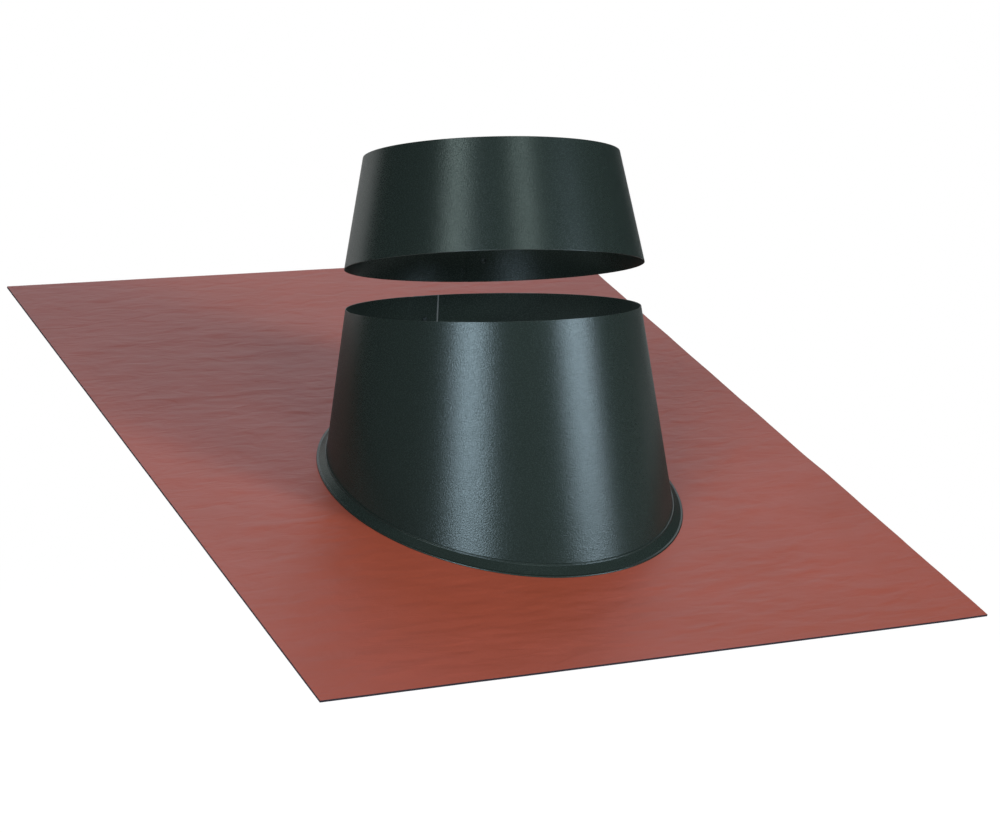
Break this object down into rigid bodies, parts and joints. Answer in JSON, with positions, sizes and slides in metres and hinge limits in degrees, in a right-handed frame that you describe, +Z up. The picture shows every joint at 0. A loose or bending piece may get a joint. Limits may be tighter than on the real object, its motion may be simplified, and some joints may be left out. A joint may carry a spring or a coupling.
{
  "type": "pipe flashing boot",
  "caption": "Pipe flashing boot for a pitched roof: flexible brick-red apron, black powder-coated cone with a bevelled base ring, and a loose storm collar lifted clear.",
  "frame": {"origin": "where the flue axis meets the apron's underside", "axes": "+Z up the plumb flue axis, +Y uphill, +X across the roof; the apron lies on a 20 degree pitch"},
  "size_m": [0.7, 0.8041, 0.4644],
  "materials": {
    "apron_sheet": "satin, fine crinkle",
    "black_powder_coat": "satin, fine texture",
    "rivet_steel": "satin"
  },
  "bodies": {
    "root": {"apron": "apron_sheet", "cone": "black_powder_coat", "base_ring": "black_powder_coat", "storm_collar": "black_powder_coat", "rivets": "rivet_steel"}
  },
  "joints": []
}
